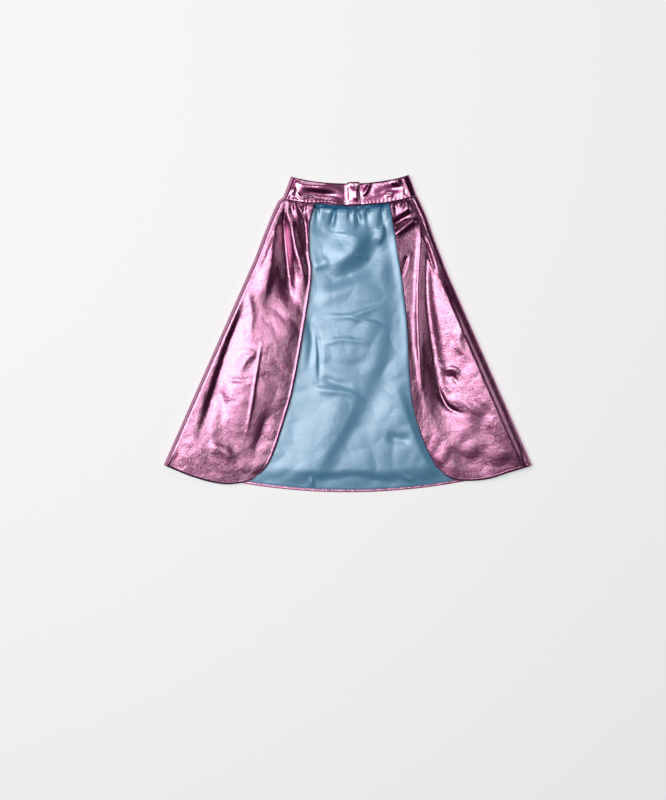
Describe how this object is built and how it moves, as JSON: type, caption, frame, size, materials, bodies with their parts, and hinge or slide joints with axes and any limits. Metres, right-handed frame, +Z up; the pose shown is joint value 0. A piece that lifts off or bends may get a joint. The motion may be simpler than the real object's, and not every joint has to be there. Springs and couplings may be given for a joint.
{
  "type": "lined costume cape",
  "caption": "Child's metallic costume cape with a satin lining and a stand-up collar, lying with both fronts folded over and the collar fastened.",
  "frame": {"origin": "on the floor, under the middle of the cape's footprint", "axes": "+X along the hem, to the right as the cape is seen from its front; +Y towards the collar; +Z up, out of the floor, towards the wearer's front"},
  "size_m": [0.534, 0.457, 0.0157],
  "materials": {
    "foil_skirt": "metallic foil lame, finely grained",
    "satin_lining": "satin",
    "neck_binding": "satin",
    "foil_collar": "smooth metallic foil",
    "interfacing": "matte felt",
    "thread_pink": "twisted thread",
    "thread_blue": "twisted thread",
    "hook_tape": "nylon hooks",
    "loop_tape": "brushed nylon loops"
  },
  "bodies": {
    "back": {"back_shell": "foil_skirt", "back_lining": "satin_lining", "back_neck_binding": "neck_binding", "back_collar_outer": "foil_collar", "back_collar_interfacing": "interfacing", "back_collar_facing": "foil_collar", "back_neck_stitching": "thread_pink", "back_binding_stitching": "thread_blue"},
    "left_front": {"left_shell": "foil_skirt", "left_lining": "satin_lining", "left_neck_binding": "neck_binding", "left_collar_outer": "foil_collar", "left_collar_interfacing": "interfacing", "left_collar_facing": "foil_collar", "left_neck_stitching": "thread_pink"},
    "right_front": {"right_shell": "foil_skirt", "right_lining": "satin_lining", "right_neck_binding": "neck_binding", "right_collar_outer": "foil_collar", "right_collar_interfacing": "interfacing", "right_collar_facing": "foil_collar", "right_neck_stitching": "thread_pink", "loop_patch": "loop_tape", "loop_patch_stitching": "thread_pink"},
    "closure_tab": {"tab_outer": "foil_collar", "tab_interfacing": "interfacing", "tab_facing": "foil_collar", "hook_patch": "hook_tape", "tab_box_stitching": "thread_pink"}
  },
  "joints": [
    {"name": "left_front_fold", "type": "hinge", "parent": "back", "child": "left_front", "pos_m": [-0.267, -0.1885, 0.007], "axis": [-0.4037, -0.9149, 0], "range_deg": [0, 165]},
    {"name": "right_front_fold", "type": "hinge", "parent": "back", "child": "right_front", "pos_m": [0.267, -0.1885, 0.007], "axis": [-0.4037, 0.9149, 0], "range_deg": [0, 165]},
    {"name": "closure_tab_peel", "type": "hinge", "parent": "left_front", "child": "closure_tab", "pos_m": [-0.00346, 0.20197, 0.01448], "axis": [-0.0095, -0.9998, -0.0201], "range_deg": [0, 120]}
  ],
  "couplings": [
    {"joint": "right_front_fold", "follows": "left_front_fold", "ratio": 1}
  ]
}
